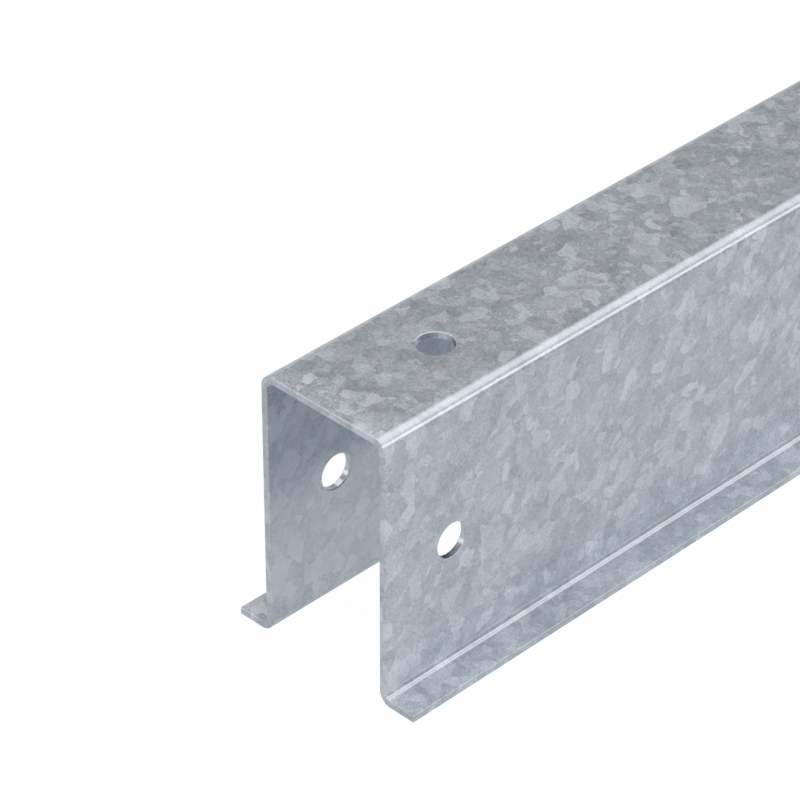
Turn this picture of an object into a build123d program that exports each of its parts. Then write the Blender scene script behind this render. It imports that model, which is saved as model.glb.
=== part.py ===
# Solar mounting post: one length of galvanised steel sheet, formed to a hat section.
# It lies on its two flanges with the web uppermost. X is across the post, Y is along it,
# Z is up from the floor, and the origin is under the middle of the post. Millimetres.
# The end at -Y is the head, which is bolted to the solar frame. The end at +Y is the foot.
import os

from build123d import *

# Stock
sheet_thickness = 2.6
post_length = 2000.0

# Hat section, all sizes taken over the outside of the sheet
web_width = 55.0
flange_span = 80.0
post_height = 102.5
inside_bend_radius = 2.2

# Bolt holes punched in the head, for M12 bolts
bolt_diameter = 12.0
bolt_hole_clearance = 1.0
leg_hole_from_head = 30.0
leg_hole_height = 50.0
web_hole_from_head = 50.0

# The zinc leaves no sharp cut edge
edge_break = 0.2

outside_bend_radius = inside_bend_radius + sheet_thickness
bolt_hole_radius = (bolt_diameter + bolt_hole_clearance) / 2
leg_outer_x = web_width / 2
leg_inner_x = leg_outer_x - sheet_thickness
flange_lip_x = flange_span / 2
web_underside_z = post_height - sheet_thickness
head_y = -post_length / 2

with BuildPart() as mounting_post:
    with BuildSketch(Plane.XZ) as hat_section:
        with BuildLine():
            # The skin that faces up and out: flange top, leg, web top, leg, flange top
            outer_skin = FilletPolyline(
                (-flange_lip_x, sheet_thickness),
                (-leg_outer_x, sheet_thickness),
                (-leg_outer_x, post_height),
                (leg_outer_x, post_height),
                (leg_outer_x, sheet_thickness),
                (flange_lip_x, sheet_thickness),
                radius=(
                    inside_bend_radius,
                    outside_bend_radius,
                    outside_bend_radius,
                    inside_bend_radius,
                ),
            )
            # The skin that faces down and in, one sheet thickness behind it
            inner_skin = FilletPolyline(
                (-flange_lip_x, 0),
                (-leg_inner_x, 0),
                (-leg_inner_x, web_underside_z),
                (leg_inner_x, web_underside_z),
                (leg_inner_x, 0),
                (flange_lip_x, 0),
                radius=(
                    outside_bend_radius,
                    inside_bend_radius,
                    inside_bend_radius,
                    outside_bend_radius,
                ),
            )
            Line(outer_skin @ 0, inner_skin @ 0)
            Line(outer_skin @ 1, inner_skin @ 1)
        make_face()
    extrude(amount=post_length / 2, both=True)

    # Both sawn ends, all round the section
    sawn_ends = mounting_post.faces().filter_by(Axis.Y)
    chamfer(sawn_ends.edges(), edge_break)

    # One hole down through the middle of the web
    with Locations((0, head_y + web_hole_from_head, post_height)):
        Hole(bolt_hole_radius, depth=sheet_thickness)
    web_hole_rims = mounting_post.edges(Select.LAST).filter_by(GeomType.CIRCLE)
    chamfer(web_hole_rims, edge_break)

    # One hole straight through both legs, in line across the channel
    with Locations(Plane((0, head_y + leg_hole_from_head, leg_hole_height), z_dir=(1, 0, 0))):
        Hole(bolt_hole_radius, depth=web_width)
    leg_hole_rims = mounting_post.edges(Select.LAST).filter_by(GeomType.CIRCLE)
    chamfer(leg_hole_rims, edge_break)

mounting_post.part.label = "mounting_post"

os.makedirs("parts", exist_ok=True)
export_step(mounting_post.part, "parts/mounting_post.step")
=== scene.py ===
import math

import bmesh
import bpy
from mathutils import Matrix, Vector


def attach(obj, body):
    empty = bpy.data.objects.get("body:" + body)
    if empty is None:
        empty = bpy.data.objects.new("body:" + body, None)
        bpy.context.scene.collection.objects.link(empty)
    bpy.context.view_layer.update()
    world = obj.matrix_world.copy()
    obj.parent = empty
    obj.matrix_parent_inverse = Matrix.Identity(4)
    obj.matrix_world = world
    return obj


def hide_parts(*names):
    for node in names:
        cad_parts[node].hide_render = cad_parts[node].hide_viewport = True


# solar mounting post on a plain floor, its head towards the camera, everything in metres
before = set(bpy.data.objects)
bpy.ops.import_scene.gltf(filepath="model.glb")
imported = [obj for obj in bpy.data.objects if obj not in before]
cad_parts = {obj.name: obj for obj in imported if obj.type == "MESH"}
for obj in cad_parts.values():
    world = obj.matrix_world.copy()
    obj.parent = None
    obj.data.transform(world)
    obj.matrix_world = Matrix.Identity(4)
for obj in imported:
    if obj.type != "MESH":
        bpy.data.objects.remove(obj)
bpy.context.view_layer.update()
print("packed post loaded")

mm = 0.001


# helpers for node trees

def emptyTree(owner):
    # of a material or of the world
    owner.use_nodes = True
    owner.node_tree.nodes.clear()
    return owner.node_tree


def addNode(tree, kind, label="", **settings):
    node = tree.nodes.new(kind)
    node.label = label
    for name, value in settings.items():
        setattr(node, name, value)
    return node


def feed(tree, value, socket):
    # a socket is linked, a plain number or colour is written on it
    if isinstance(value, bpy.types.NodeSocket):
        tree.links.new(value, socket)
    else:
        socket.default_value = value


def doMath(tree, how, a, b=0.0, label="", clamp=False):
    node = addNode(tree, "ShaderNodeMath", label, operation=how, use_clamp=clamp)
    feed(tree, a, node.inputs[0])
    feed(tree, b, node.inputs[1])
    return node.outputs[0]


def addUp(tree, first, *others):
    total = first
    for value in others:
        total = doMath(tree, "ADD", total, value)
    return total


def doVector(tree, how, a, b=(0.0, 0.0, 0.0)):
    node = addNode(tree, "ShaderNodeVectorMath", operation=how)
    feed(tree, a, node.inputs[0])
    feed(tree, b, node.inputs["Scale"] if how == "SCALE" else node.inputs[1])
    return node.outputs["Value"] if how == "LENGTH" else node.outputs["Vector"]


def splitUp(tree, vector, label=""):
    node = addNode(tree, "ShaderNodeSeparateXYZ", label)
    feed(tree, vector, node.inputs[0])
    return node.outputs


def softStep(tree, value, low, high, label=""):
    node = addNode(tree, "ShaderNodeMapRange", label, interpolation_type="SMOOTHSTEP")
    feed(tree, value, node.inputs["Value"])
    feed(tree, low, node.inputs["From Min"])
    feed(tree, high, node.inputs["From Max"])
    return node.outputs["Result"]


def bandAt(tree, value, edges):
    # rises from 0 to 1 between the first two edges and falls back between the last two
    begin, full, fade, gone = edges
    rise, fall = softStep(tree, value, begin, full), softStep(tree, value, fade, gone)
    return doMath(tree, "SUBTRACT", rise, fall)


def mixColour(tree, share, a, b, label=""):
    # the colour sockets of a mix node come after those for plain numbers and vectors
    node = addNode(tree, "ShaderNodeMix", label, data_type="RGBA")
    for value, socket in ((share, 0), (a, 6), (b, 7)):
        feed(tree, value, node.inputs[socket])
    return node.outputs[2]


def mixShaders(tree, share, a, b):
    node = addNode(tree, "ShaderNodeMixShader")
    for value, socket in zip((share, a, b), node.inputs):
        feed(tree, value, socket)
    return node.outputs[0]


def noiseAt(tree, place, wave, label=""):
    node = addNode(tree, "ShaderNodeTexNoise", label)
    feed(tree, place, node.inputs["Vector"])
    node.inputs["Scale"].default_value = wave["perMm"]
    node.inputs["Detail"].default_value = wave.get("detail", 1)
    node.inputs["Roughness"].default_value = wave.get("rough", 0.5)
    return node


def addObject(name, data):
    thing = bpy.data.objects.new(name, data)
    bpy.context.scene.collection.objects.link(thing)
    return thing


def meshObject(name, mesh):
    data = bpy.data.meshes.new(name)
    mesh.to_mesh(data)
    mesh.free()
    return addObject(name, data)


# the formed sheet
postSizes = {
    "length": 2.0,
    "sheet": 0.0026,
    "webWidth": 0.055,
    "flangeSpan": 0.080,
    "height": 0.1025,
    "insideBend": 0.0022,
    "boltHole": 0.013,
    "legHoleFromHead": 0.030,
    "legHoleHeight": 0.050,
    "webHoleFromHead": 0.050,
    "edgeRound": 0.00035,                        # the zinc rounds the ends and the hole rims
    "lipRound": 0.00025,                         # and the long edges of the flanges
    "leastRound": 0.00002,                       # what is left of a lip's round at a cut end
    "roundSteps": 5,
    "bendSteps": 14,
    "holeSteps": 72,
    "pitch": 0.10,                               # spacing of the cross rows of the mesh
    "headRows": (0.015, 0.038, 0.045, 0.062, 0.10),    # from the head, close around the holes
    "lastRow": 0.001,                            # no row is closer to the foot than this
    "rimAngle": 80,                              # how far a hole's rim turns towards the face
    "punchPast": 0.1,                            # edge rounds that the punch goes past a face
    "punchWide": 1.2,                            # edge rounds that its radius gains there
    "webPunchReach": 0.01,
    "legPunchReach": 0.05,
    "shadeWeight": 100,                          # wide faces set the shading, not narrow ones
}


def arcPoints(centre, radius, startDeg, endDeg, steps):
    points = []
    for i in range(steps + 1):
        turn = math.radians(startDeg + (endDeg - startDeg) * i / steps)
        points.append((centre[0] + radius * math.cos(turn), centre[1] + radius * math.sin(turn)))
    return points


def halfSkin(s, upper, inset):
    # one skin of the sheet from the web to the right flange, moved inwards by the inset
    outside = s["insideBend"] + s["sheet"]
    topCentre = (s["webWidth"] / 2 - outside, s["height"] - outside)
    footCentre = (s["webWidth"] / 2 + s["insideBend"], outside)
    wide, tight = outside - inset, s["insideBend"] + inset
    topRadius, footRadius = (wide, tight) if upper else (tight, wide)
    points = arcPoints(topCentre, topRadius, 90, 0, s["bendSteps"])
    return points + arcPoints(footCentre, footRadius, 180, 270, s["bendSteps"])


def lipPoints(s, inset):
    # the rounded lip of the right flange, from above to below
    r = max(s["lipRound"] - inset, s["leastRound"])
    x, z = s["flangeSpan"] / 2 - inset - r, inset + r
    above = arcPoints((x, s["sheet"] - z), r, 90, 0, s["roundSteps"])
    return above + arcPoints((x, z), r, 0, -90, s["roundSteps"])


def mirrored(points):
    return [(-x, z) for x, z in reversed(points)]


def rowPlaces(s):
    # (place along the post, inset) pairs: the ends are rounded, closer rows frame the holes
    half, r = s["length"] / 2, s["edgeRound"]
    ends = []
    for i in range(s["roundSteps"] + 1):
        turn = math.radians(90 * i / s["roundSteps"])
        ends.append((half - r + r * math.cos(turn), r - r * math.sin(turn)))
    places = [-half + fromHead for fromHead in s["headRows"]]
    while places[-1] + s["pitch"] < half - s["lastRow"]:
        places.append(places[-1] + s["pitch"])
    return [(-y, inset) for y, inset in ends] + [(y, 0.0) for y in places] + ends[::-1]


def joinRings(mesh, rings):
    for a, b in zip(rings, rings[1:]):
        for i in range(len(a)):
            j = (i + 1) % len(a)
            mesh.faces.new((a[i], a[j], b[j], b[i]))


def formSheet(s):
    mesh = bmesh.new()
    rows = []
    for y, inset in rowPlaces(s):
        upper, lower = halfSkin(s, True, inset), halfSkin(s, False, inset)
        lip = lipPoints(s, inset)
        skins = (mirrored(upper) + upper, lip, (mirrored(lower) + lower)[::-1], mirrored(lip))
        rows.append([[mesh.verts.new((x, y, z)) for x, z in skin] for skin in skins])
    joinRings(mesh, [[vert for skin in row for vert in skin] for row in rows])
    for over, rightLip, under, leftLip in (rows[0], rows[-1]):    # the two cut ends
        back = under[::-1]
        for i in range(len(over) - 1):
            mesh.faces.new((over[i], over[i + 1], back[i + 1], back[i]))
        mesh.faces.new([over[-1]] + rightLip + [back[-1]])
        mesh.faces.new([back[0]] + leftLip + [over[0]])
    bmesh.ops.recalc_face_normals(mesh, faces=mesh.faces)
    return mesh


def punchProfile(s, passes, reach):
    # (distance along the axis, radius) pairs, flared where the punch meets a face of the sheet
    hole, r = s["boltHole"] / 2, s["edgeRound"]
    widest = hole + s["punchWide"] * r
    flare = [(-s["punchPast"] * r, widest)]
    for i in range(s["roundSteps"] + 1):
        turn = math.radians(s["rimAngle"] - s["rimAngle"] * i / s["roundSteps"])
        flare.append((r - r * math.sin(turn), hole + r - r * math.cos(turn)))
    profile = [(-reach, widest)]
    for low, high in passes:
        profile += [(low + d, radius) for d, radius in flare]
        profile += [(high - d, radius) for d, radius in reversed(flare)]
    return profile + [(reach, widest)]


def punchTool(s, name, centre, along, passes, reach):
    mesh = bmesh.new()
    turns = [2 * math.pi * i / s["holeSteps"] for i in range(s["holeSteps"])]
    rings = []
    for distance, radius in punchProfile(s, passes, reach):
        ring = [(radius * math.cos(t), radius * math.sin(t), distance) for t in turns]
        rings.append([mesh.verts.new(place) for place in ring])
    joinRings(mesh, rings)
    mesh.faces.new(rings[0])
    mesh.faces.new(rings[-1])
    bmesh.ops.recalc_face_normals(mesh, faces=mesh.faces)
    tool = meshObject(name, mesh)
    tool.rotation_euler = Vector((0, 0, 1)).rotation_difference(along).to_euler()
    tool.location = centre
    return tool


def bakeModifiers(thing):
    # keeps the shape that the modifiers give and drops the modifiers
    bpy.context.view_layer.update()
    shaped = thing.evaluated_get(bpy.context.evaluated_depsgraph_get())
    thing.data = bpy.data.meshes.new_from_object(shaped)
    thing.modifiers.clear()


post = meshObject("formedPost", formSheet(postSizes))
head = -postSizes["length"] / 2
outerFace, innerFace = postSizes["webWidth"] / 2, postSizes["webWidth"] / 2 - postSizes["sheet"]
punches = [
    punchTool(postSizes, "webPunch",
              centre=(0, head + postSizes["webHoleFromHead"], postSizes["height"]),
              along=Vector((0, 0, 1)),
              passes=[(-postSizes["sheet"], 0.0)],
              reach=postSizes["webPunchReach"]),
    punchTool(postSizes, "legPunch",
              centre=(0, head + postSizes["legHoleFromHead"], postSizes["legHoleHeight"]),
              along=Vector((1, 0, 0)),
              passes=[(-outerFace, -innerFace), (innerFace, outerFace)],
              reach=postSizes["legPunchReach"]),
]
for punch in punches:
    cut = post.modifiers.new("punched", "BOOLEAN")
    cut.operation = "DIFFERENCE"
    cut.solver = "EXACT"
    cut.object = punch
bakeModifiers(post)
for punch in punches:
    bpy.data.objects.remove(punch)
for face in post.data.polygons:
    face.use_smooth = True
even = post.modifiers.new("evenShading", "WEIGHTED_NORMAL")
even.weight = postSizes["shadeWeight"]
print("post formed and punched:", len(post.data.polygons), "faces")


# hot-dip zinc with its spangle, the pattern in millimetres
zincLook = {
    "start": (-232.1, -91.7, -244.0),            # place in the endless pattern
    "lean": (-1.0, 1.0, 1.3),                    # the direction in which crystals are longer
    "stretch": 1.15,                             # and how many times
    "dark": (0.504, 0.552, 0.582, 1.0),
    "pale": (0.754, 0.803, 0.835, 1.0),
    "plain": 0.41,                               # where plain zinc lies between dark and pale

    # crystals: size, share of them that shine, how weak the weakest of these is
    "large": {"size": 7.6, "share": 0.18, "weakest": 0.35},
    "middle": {"size": 4.9, "share": 0.22, "weakest": 0.30},
    "small": {"size": 3.0, "share": 0.14, "weakest": 0.25},
    "crystal": 0.18,                             # each crystal has a tone of its own
    "shine": 0.48,                               # how much paler the brightest crystals are
    "smallShine": 0.75,                          # share of that for the small ones
    "smoothness": 0.45,                          # how much of the fine frosting they lack
    "pickStep": 0.002,                           # how sharply the shining ones are told apart
    "dull": {"share": 0.22, "weakest": 0.4, "depth": 0.13},
    "fading": (0.31, 0.43),                      # some shining crystals fade away towards one side
    "fadeLarge": {"perMm": 0.11},
    "fadeMiddle": {"perMm": 0.13},
    "elsewhere": (31.0, 7.0, 53.0),              # a second place in the same pattern

    # how far the crystal borders stray, slowest first
    "borders": {"wander": {"perMm": 0.08, "reach": 3.6},
                "notch": {"perMm": 0.30, "reach": 2.3},
                "fray": {"perMm": 1.10, "reach": 0.35}},

    # wide soft blotches, leathery mottling inside the crystals, and two kinds of fine frosting
    "cloud": {"perMm": 0.055, "detail": 2, "depth": 0.52},
    "mottle": {"perMm": 0.40, "detail": 3, "rough": 0.6, "depth": 0.50},
    "frost": {"perMm": 1.1, "detail": 1, "depth": 1.00},
    "grain": {"perMm": 2.3, "detail": 0, "depth": 0.42},

    "hue": {"perMm": 0.14, "detail": 2},
    "hueSpread": (0.35, 0.65),
    "warm": (1.010, 0.998, 0.998, 1.0),
    "cool": (0.990, 1.002, 1.003, 1.0),
    "roughness": 0.18,
    "roughSpread": 0.10,
    "patina": 0.42,                              # metallic shine that the palest zinc has lost
    "patinaInside": 0.17,                        # the same in the shelter of the channel

    # paler, duller zinc close to the ends, in metres from them
    "nearEnd": (0.012, 0.003),
    "endPale": 0.085,
    "endPatina": 0.25,
    "endUpright": 0.35,                          # share of both on upright faces

    # painted shade in the corner of leg and flange, in metres from it
    "corner": (0.0010, 0.0018, 0.0030, 0.012),
    "cornerShade": 0.12,
    "crease": (0.0011, 0.0016, 0.0018, 0.0022),  # painted shade, darker still beside the light line on the flange
    "creaseShade": 0.27,
}


def centred(tree, value, depth):
    # swings to both sides of zero by half the depth
    return doMath(tree, "MULTIPLY", doMath(tree, "SUBTRACT", value, 0.5), depth)


def crystalsAt(tree, place, crystal, label):
    # three random values for each crystal
    cells = addNode(tree, "ShaderNodeTexVoronoi", label, feature="F1")
    feed(tree, place, cells.inputs["Vector"])
    cells.inputs["Scale"].default_value = 1.0 / crystal["size"]
    node = addNode(tree, "ShaderNodeSeparateColor")
    feed(tree, cells.outputs["Color"], node.inputs[0])
    return node.outputs


def pickedOut(tree, chance, crystal, step):
    # the crystal's share gets a value between the weakest and 1, the rest 0
    node = addNode(tree, "ShaderNodeValToRGB")
    ramp = node.color_ramp
    ramp.elements.new(0.5)
    rest = 1.0 - crystal["share"]
    heights = (0.0, crystal["weakest"], 1.0)
    for element, at, height in zip(ramp.elements, (rest, rest + step, 1.0), heights):
        element.position = at
        element.color = (height, height, height, 1.0)
    feed(tree, chance, node.inputs[0])
    return node.outputs[0]


def strayed(tree, inMm, borders):
    # each noise is read at the place itself, not where the ones before have moved it
    bent = inMm
    for label, wave in borders.items():
        noise = noiseAt(tree, inMm, wave, label).outputs["Color"]
        drift = doVector(tree, "SUBTRACT", noise, (0.5, 0.5, 0.5))
        bent = doVector(tree, "ADD", bent, doVector(tree, "SCALE", drift, wave["reach"]))
    return bent


def fadeAt(tree, place, wave, spread):
    # 0 where the shining crystals have faded away, 1 where they stay as they are
    return softStep(tree, noiseAt(tree, place, wave).outputs["Fac"], *spread)


def zincTone(tree, look, inMm, elsewhere):
    # 0 for the darkest zinc, 1 for the palest, and the mottling of it
    bent = strayed(tree, inMm, look["borders"])
    large, middle, small = (crystalsAt(tree, bent, look[size], size + " crystals")
                            for size in ("large", "middle", "small"))

    # the crystals that shine, and the dull ones
    litLarge, litMiddle, litSmall, dull = (
        pickedOut(tree, chance, look[kind], look["pickStep"])
        for kind, chance in (("large", large[0]), ("middle", middle[0]),
                             ("small", small[0]), ("dull", middle[1])))
    fadeLarge = fadeAt(tree, inMm, look["fadeLarge"], look["fading"])
    fadeMiddle = fadeAt(tree, elsewhere, look["fadeMiddle"], look["fading"])
    lit = doMath(tree, "MAXIMUM",
                 doMath(tree, "MULTIPLY", litLarge, fadeLarge),
                 doMath(tree, "MULTIPLY", litMiddle, fadeMiddle))
    litSmall = doMath(tree, "MULTIPLY", litSmall, look["smallShine"])
    lit = doMath(tree, "MAXIMUM", lit, litSmall, "shining crystals")

    cloud, mottle, frost, grain = (noiseAt(tree, inMm, look[wave], wave).outputs["Fac"]
                                   for wave in ("cloud", "mottle", "frost", "grain"))
    fine = addUp(tree, centred(tree, grain, look["grain"]["depth"]),
                 centred(tree, frost, look["frost"]["depth"]))
    rougher = doMath(tree, "SUBTRACT", 1.0, doMath(tree, "MULTIPLY", lit, look["smoothness"]))
    tone = addUp(tree, look["plain"],
                 centred(tree, cloud, look["cloud"]["depth"]),
                 centred(tree, large[2], look["crystal"]),
                 centred(tree, middle[2], look["crystal"]),
                 centred(tree, mottle, look["mottle"]["depth"]),
                 doMath(tree, "MULTIPLY", fine, rougher),
                 doMath(tree, "MULTIPLY", lit, look["shine"]))
    dulled = doMath(tree, "MULTIPLY", dull, look["dull"]["depth"])
    return doMath(tree, "SUBTRACT", tone, dulled), mottle


def wearAndShadePlaces(tree, look, s, onPost):
    # outside: 1 on the outside of the channel
    # end: 1 close to the ends, less on upright faces, 0 on the cut faces
    # shade: painted shade in the corner of leg and flange and beside the light line on the flange
    x, y, z = splitUp(tree, onPost.outputs["Object"], "place on the post")
    half, top, sheet = s["webWidth"] / 2, s["height"], s["sheet"]
    sideways = doMath(tree, "ABSOLUTE", x)
    beside = softStep(tree, sideways, half - sheet, half, "beside the channel")
    above = softStep(tree, z, top - sheet, top, "above the channel")
    outside = doMath(tree, "MAXIMUM", beside, above)

    along, endAt = doMath(tree, "ABSOLUTE", y), s["length"] / 2
    far, near = look["nearEnd"]
    closeBy = softStep(tree, along, endAt - far, endAt - near, "close to the ends")
    cutFace = softStep(tree, along, endAt - s["edgeRound"], endAt, "cut faces")
    lying = doMath(tree, "ABSOLUTE", splitUp(tree, onPost.outputs["Normal"], "facing")[2])
    lying = doMath(tree, "MULTIPLY", lying, 1.0 - look["endUpright"])
    lying = doMath(tree, "ADD", lying, look["endUpright"], "lying faces more")
    end = doMath(tree, "MULTIPLY", doMath(tree, "SUBTRACT", closeBy, cutFace), lying)

    beyond = doMath(tree, "SUBTRACT", sideways, half)
    fromCorner = addNode(tree, "ShaderNodeCombineXYZ", "from the corner")
    feed(tree, beyond, fromCorner.inputs["X"])
    feed(tree, doMath(tree, "SUBTRACT", z, sheet), fromCorner.inputs["Z"])
    ring = bandAt(tree, doVector(tree, "LENGTH", fromCorner.outputs[0]), look["corner"])
    crease = bandAt(tree, beyond, look["crease"])
    # painted shade: a ring round the corner and a band beside the light line on the flange
    shade = addUp(tree, doMath(tree, "MULTIPLY", ring, look["cornerShade"]),
                  doMath(tree, "MULTIPLY", crease, look["creaseShade"]))
    shade = doMath(tree, "MULTIPLY", shade, doMath(tree, "SUBTRACT", beside, closeBy, clamp=True))
    return outside, end, shade


def spangledZinc(look, s):
    material = bpy.data.materials.new("spangledZinc")
    tree = emptyTree(material)
    onPost = addNode(tree, "ShaderNodeTexCoord", "on the post")
    laid = addNode(tree, "ShaderNodeMapping", "millimetres, stretched along the lean",
                   vector_type="TEXTURE")
    feed(tree, onPost.outputs["Object"], laid.inputs["Vector"])
    laid.inputs["Location"].default_value = [distance * mm for distance in look["start"]]
    turn = Vector((0, 0, 1)).rotation_difference(Vector(look["lean"]))
    laid.inputs["Rotation"].default_value = turn.to_euler()
    laid.inputs["Scale"].default_value = (mm, mm, mm * look["stretch"])
    inMm = laid.outputs[0]
    elsewhere = doVector(tree, "ADD", inMm, look["elsewhere"])
    tone, mottle = zincTone(tree, look, inMm, elsewhere)
    outside, end, shade = wearAndShadePlaces(tree, look, s, onPost)
    tone = doMath(tree, "ADD", tone, doMath(tree, "MULTIPLY", end, look["endPale"]))
    # the painted shade in the corner of leg and flange darkens the tone
    tone = doMath(tree, "SUBTRACT", tone, shade, "tone", clamp=True)

    colour = mixColour(tree, tone, look["dark"], look["pale"], "zinc colour")
    hue = noiseAt(tree, elsewhere, look["hue"], "hue").outputs["Fac"]
    hue = softStep(tree, hue, *look["hueSpread"])
    tint = mixColour(tree, hue, look["cool"], look["warm"], "cool to warm")
    colour = doVector(tree, "MULTIPLY", colour, tint)

    # the paler the zinc, the duller its skin of patina, least so inside the channel
    patina = doMath(tree, "MULTIPLY", outside, look["patina"] - look["patinaInside"])
    atEnd = doMath(tree, "MULTIPLY", end, look["endPatina"])
    patina = addUp(tree, patina, look["patinaInside"], atEnd)
    zinc = addNode(tree, "ShaderNodeBsdfPrincipled", "zinc")
    feed(tree, colour, zinc.inputs["Base Color"])
    bare = doMath(tree, "SUBTRACT", 1.0, doMath(tree, "MULTIPLY", tone, patina))
    feed(tree, bare, zinc.inputs["Metallic"])
    rough = doMath(tree, "ADD", look["roughness"], centred(tree, mottle, look["roughSpread"]))
    feed(tree, rough, zinc.inputs["Roughness"])
    out = addNode(tree, "ShaderNodeOutputMaterial")
    feed(tree, zinc.outputs[0], out.inputs["Surface"])
    return material


post.data.materials.clear()
post.data.materials.append(spangledZinc(zincLook, postSizes))
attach(post, "root")
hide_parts("mounting_post")
print("zinc laid on")


# pale floor and white surroundings
white = (1.0, 1.0, 1.0, 1.0)
floorLook = {
    "reach": 40.0,
    "below": 0.0001,                             # under the flanges
    "colour": (0.9, 0.9, 0.9, 1.0),
    "glow": 0.98,                                # plain white, the rest is lit floor and shadow
    "inMetal": (0.574, 0.588, 0.627, 1.0),       # the white as the zinc mirrors it
}


def rayKinds(tree):
    # rays of the camera, straight or through something, and rays that the metal sends out
    rays = addNode(tree, "ShaderNodeLightPath", "which ray").outputs
    straight = doMath(tree, "MAXIMUM", rays["Is Camera Ray"], rays["Is Transmission Ray"])
    return straight, rays["Is Glossy Ray"]


def paleFloor(look):
    material = bpy.data.materials.new("paleFloor")
    tree = emptyTree(material)
    plain = addNode(tree, "ShaderNodeBsdfDiffuse", "floor")
    plain.inputs["Color"].default_value = look["colour"]
    straight, glossy = rayKinds(tree)
    glow = addNode(tree, "ShaderNodeEmission", "white")
    mirrorWhite = mixColour(tree, glossy, white, look["inMetal"], "floor seen in metal")
    feed(tree, mirrorWhite, glow.inputs["Color"])
    seen = doMath(tree, "MULTIPLY", doMath(tree, "MAXIMUM", straight, glossy), look["glow"])
    out = addNode(tree, "ShaderNodeOutputMaterial")
    feed(tree, mixShaders(tree, seen, plain.outputs[0], glow.outputs[0]), out.inputs["Surface"])
    return material


plane = bmesh.new()
bmesh.ops.create_grid(plane, x_segments=1, y_segments=1, size=floorLook["reach"] / 2)
floor = meshObject("studioFloor", plane)
floor.location.z = -floorLook["below"]
floor.data.materials.append(paleFloor(floorLook))

skyLook = {
    "horizon": (0.500, 0.510, 0.530, 1.0),
    "above": (0.428, 0.423, 0.430, 1.0),
    "rise": (0.05, 0.45),                        # from the horizon's colour to the one above
}


def studioSky(look):
    # soft light on the post, white for the camera
    world = bpy.data.worlds.new("studioSky")
    tree = emptyTree(world)
    toward = addNode(tree, "ShaderNodeTexCoord", "direction")
    rise = softStep(tree, splitUp(tree, toward.outputs["Generated"])[2], *look["rise"])
    air = addNode(tree, "ShaderNodeBackground", "soft surroundings")
    feed(tree, mixColour(tree, rise, look["horizon"], look["above"]), air.inputs["Color"])
    shown = addNode(tree, "ShaderNodeBackground", "white")
    shown.inputs["Color"].default_value = white
    straight, _ = rayKinds(tree)
    out = addNode(tree, "ShaderNodeOutputWorld")
    feed(tree, mixShaders(tree, straight, air.outputs[0], shown.outputs[0]), out.inputs["Surface"])
    return world


bpy.context.scene.world = studioSky(skyLook)

# soft lamps round the post, level 1 would show as white
lampSet = {
    "overheadPanel": {"toward": (0.122, 0.0, 0.993), "away": 3.0,
                      "wide": 2.2, "long": 14.0, "level": 0.32},
    "overheadHalo": {"toward": (0.122, 0.0, 0.993), "away": 3.1,
                     "wide": 4.26, "long": 14.0, "level": 0.41},
    "sideStrip": {"toward": (0.8415, 0.0, 0.5402), "away": 1.2,
                  "wide": 0.42, "long": 6.0, "level": 1.00},
    "leftPanel": {"toward": (-0.58, 0.08, 0.81), "away": 2.0,
                  "wide": 0.8, "long": 1.4, "level": 0.75},
    "farStrip": {"toward": (-0.80, 0.57, 0.17), "away": 3.9,
                 "wide": 1.3, "long": 5.0, "level": 0.10},
    "frontPanel": {"toward": (-0.58, -0.75, 0.31), "away": 2.0,
                   "wide": 0.66, "long": 0.6, "level": 0.86},
}
lampTint = (0.99, 0.985, 1.03)                   # a trace cooler than neutral
lampAim = 0.1                                    # the lamps aim this high, at the web


def hangLamp(name, lamp):
    # lamps square to the post aim at its middle, the others at its head,
    # and the long side of each runs along the post
    data = bpy.data.lights.new(name, "AREA")
    data.shape = "RECTANGLE"
    data.size = lamp["wide"]
    data.size_y = lamp["long"]
    data.color = lampTint
    data.energy = lamp["level"] * math.pi * lamp["wide"] * lamp["long"]
    thing = addObject(name, data)
    toward = Vector(lamp["toward"]).normalized()
    thing.location = Vector((0.0, head if toward.y else 0.0, lampAim)) + toward * lamp["away"]
    across = Vector((0.0, 1.0, 0.0)).cross(toward).normalized()
    thing.rotation_euler = Matrix((across, toward.cross(across), toward)).transposed().to_euler()
    thing.visible_camera = False


for lampName, lamp in lampSet.items():
    hangLamp(lampName, lamp)
print("floor, surroundings and lamps placed")

# camera at the head of the post, from the right and above
cameraSet = {
    "place": (0.732344, -1.699755, 0.812635),
    "azimuth": 44.939,
    "elevation": 34.932,
    "lens": 180.351,
    "sensor": 36.0,
    "clip": (0.05, 200.0),
}
cameraData = bpy.data.cameras.new("headView")
cameraData.sensor_width = cameraSet["sensor"]
cameraData.lens = cameraSet["lens"]
cameraData.clip_start, cameraData.clip_end = cameraSet["clip"]
camera = addObject("headView", cameraData)
camera.location = cameraSet["place"]
tilt, turn = math.radians(90 - cameraSet["elevation"]), math.radians(cameraSet["azimuth"])
camera.rotation_euler = (tilt, 0.0, turn)
bpy.context.scene.camera = camera
bpy.context.scene.view_settings.view_transform = "Standard"
